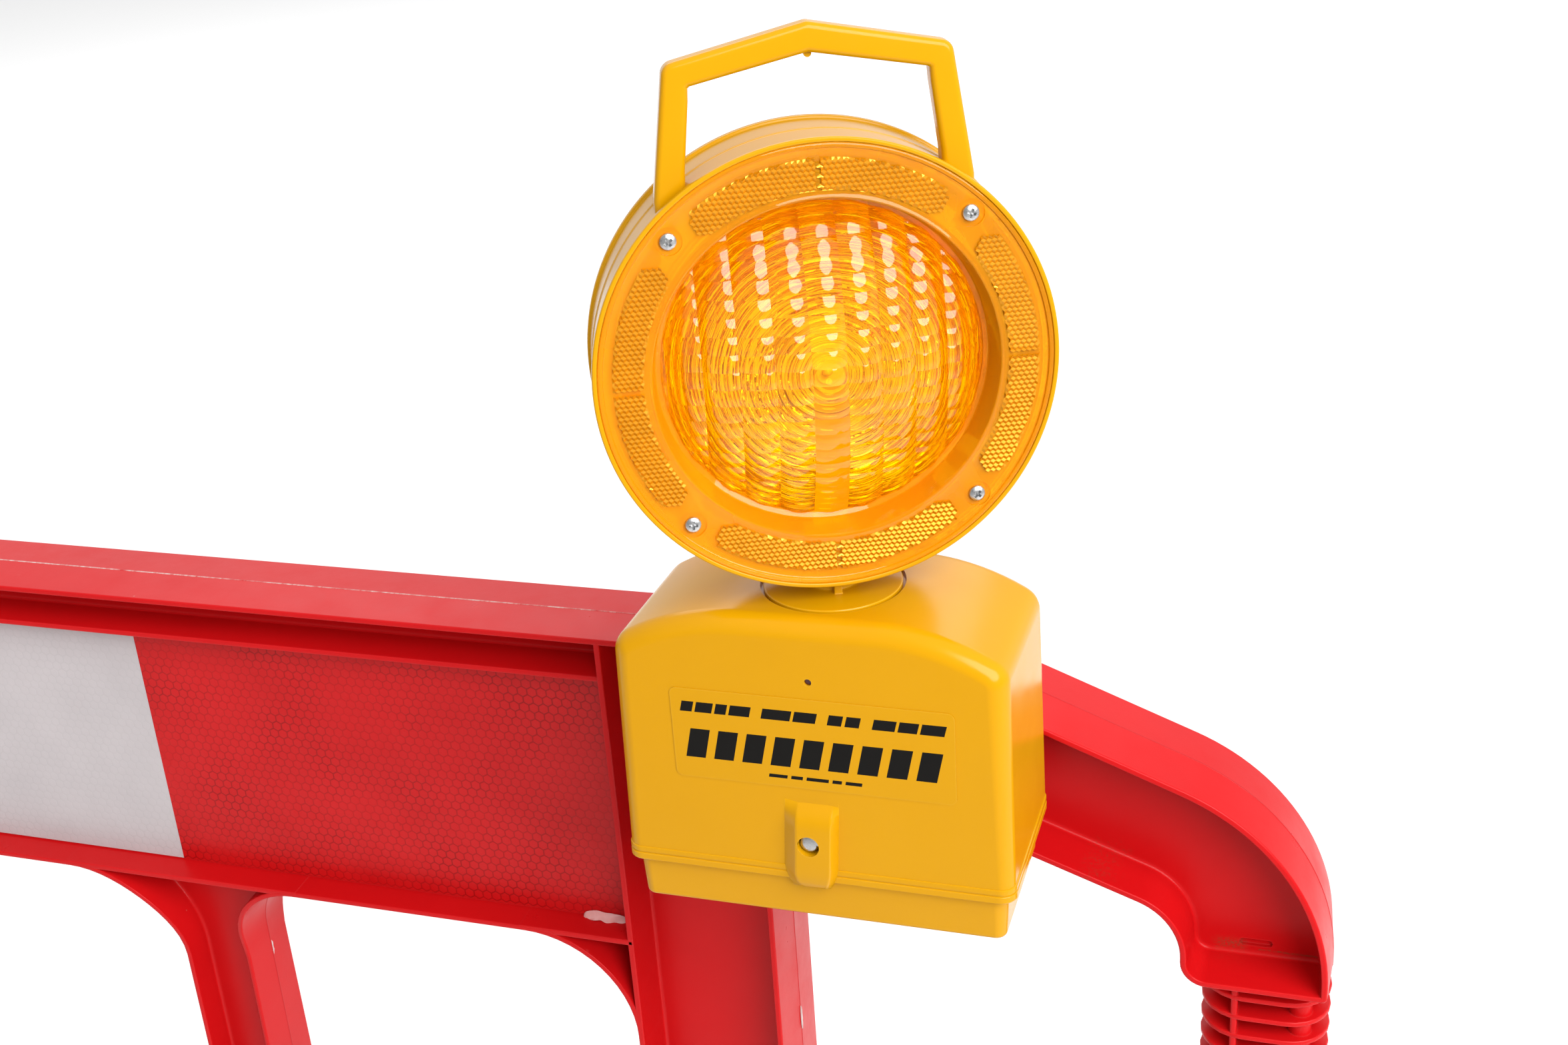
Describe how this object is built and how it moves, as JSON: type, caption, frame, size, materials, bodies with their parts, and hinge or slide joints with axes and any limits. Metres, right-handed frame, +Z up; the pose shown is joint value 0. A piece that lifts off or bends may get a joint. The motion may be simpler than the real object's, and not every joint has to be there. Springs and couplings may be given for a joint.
{
  "type": "pedestrian works barrier with warning lamp",
  "caption": "Linkable moulded pedestrian works barrier with a banded visibility board, swivelling rubber feet and a bolted-on swivel-head battery warning lamp.",
  "frame": {"origin": "on the ground, under the middle of the overall length, width and height box; the barrier's mid-plane is Y = 0", "axes": "+X along the barrier towards the link spigot, -Y towards the pictured front, +Z up"},
  "size_m": [2.064, 0.5, 1.2903],
  "materials": {
    "red_plastic": "semi-gloss injection moulding, light scuffs",
    "red_sheeting": "retroreflective film, fine hexagon cells",
    "white_sheeting": "retroreflective film, fine hexagon cells",
    "foot_rubber": "matt recycled rubber compound",
    "pad_rubber": "matt",
    "black_rubber": "matt",
    "zinc_steel": "bright zinc plate",
    "white_plastic": "matt",
    "yellow_plastic": "semi-gloss injection moulding",
    "battery_case": "printed sleeve left plain",
    "contact_brass": "bright",
    "circuit_board": "solder-mask green",
    "black_plastic": "matt",
    "sensor_window": "dark tinted epoxy",
    "lead_sheath": "matt",
    "label_film": null,
    "sleeve_aluminium": "as drawn",
    "amber_lens": "clear amber moulding, polished",
    "led_resin": "clear epoxy"
  },
  "bodies": {
    "barrier": {"barrier_frame": "red_plastic", "link_arm": "red_plastic", "link_socket": "red_plastic", "front_board_panel": "red_plastic", "rear_board_panel": "red_plastic", "front_sheets_red": "red_sheeting", "front_sheets_white": "white_sheeting", "rear_sheets_red": "red_sheeting", "rear_sheets_white": "white_sheeting", "foot_pivot_bolts": "zinc_steel", "foot_pivot_nuts": "zinc_steel", "foot_nut_washers": "zinc_steel", "foot_head_washers": "zinc_steel", "foot_thrust_washers": "white_plastic", "battery_cover": "yellow_plastic", "battery_tray": "yellow_plastic", "tray_gasket": "black_rubber", "lantern_batteries": "battery_case", "battery_springs": "contact_brass", "contact_board": "circuit_board", "contact_pads": "contact_brass", "contact_board_screws": "zinc_steel", "switch_housing": "black_plastic", "light_sensor": "sensor_window", "lamp_lead": "lead_sheath", "cover_label": "label_film", "clamp_bolt": "zinc_steel", "clamp_washer": "zinc_steel", "clamp_nut": "zinc_steel", "clamp_sleeve": "sleeve_aluminium", "rear_spacer": "yellow_plastic"},
    "left_foot_body": {"left_foot": "foot_rubber", "left_foot_pads": "pad_rubber"},
    "right_foot_body": {"right_foot": "foot_rubber", "right_foot_pads": "pad_rubber"},
    "switch_body": {"switch_slider": "white_plastic"},
    "lamp_head": {"swivel_neck": "yellow_plastic", "neck_retaining_ring": "black_plastic", "neck_screws": "zinc_steel", "head_front_casing": "yellow_plastic", "head_rear_casing": "yellow_plastic", "front_lens": "amber_lens", "rear_lens": "amber_lens", "front_lens_gasket": "black_rubber", "rear_lens_gasket": "black_rubber", "front_lens_screws": "zinc_steel", "rear_lens_screws": "zinc_steel", "led_board": "circuit_board", "led_board_clip": "white_plastic", "led_modules": "led_resin"}
  },
  "joints": [
    {"name": "head_swivel", "type": "hinge", "parent": "barrier", "child": "lamp_head", "pos_m": [0.8235, -0.0684, 1.0597], "axis": [0, 0, 1], "range_deg": [-195.1, 144.9]},
    {"name": "left_foot_swivel", "type": "hinge", "parent": "barrier", "child": "left_foot_body", "pos_m": [-0.91805, 0, 0.03], "axis": [0, 0, 1], "range_deg": [-90, 90]},
    {"name": "right_foot_swivel", "type": "hinge", "parent": "barrier", "child": "right_foot_body", "pos_m": [0.73025, 0, 0.03], "axis": [0, 0, 1], "range_deg": [-90, 90]},
    {"name": "mode_switch", "type": "slide", "parent": "barrier", "child": "switch_body", "axis": [1, 0, 0], "range_m": [0, 0.004]}
  ]
}
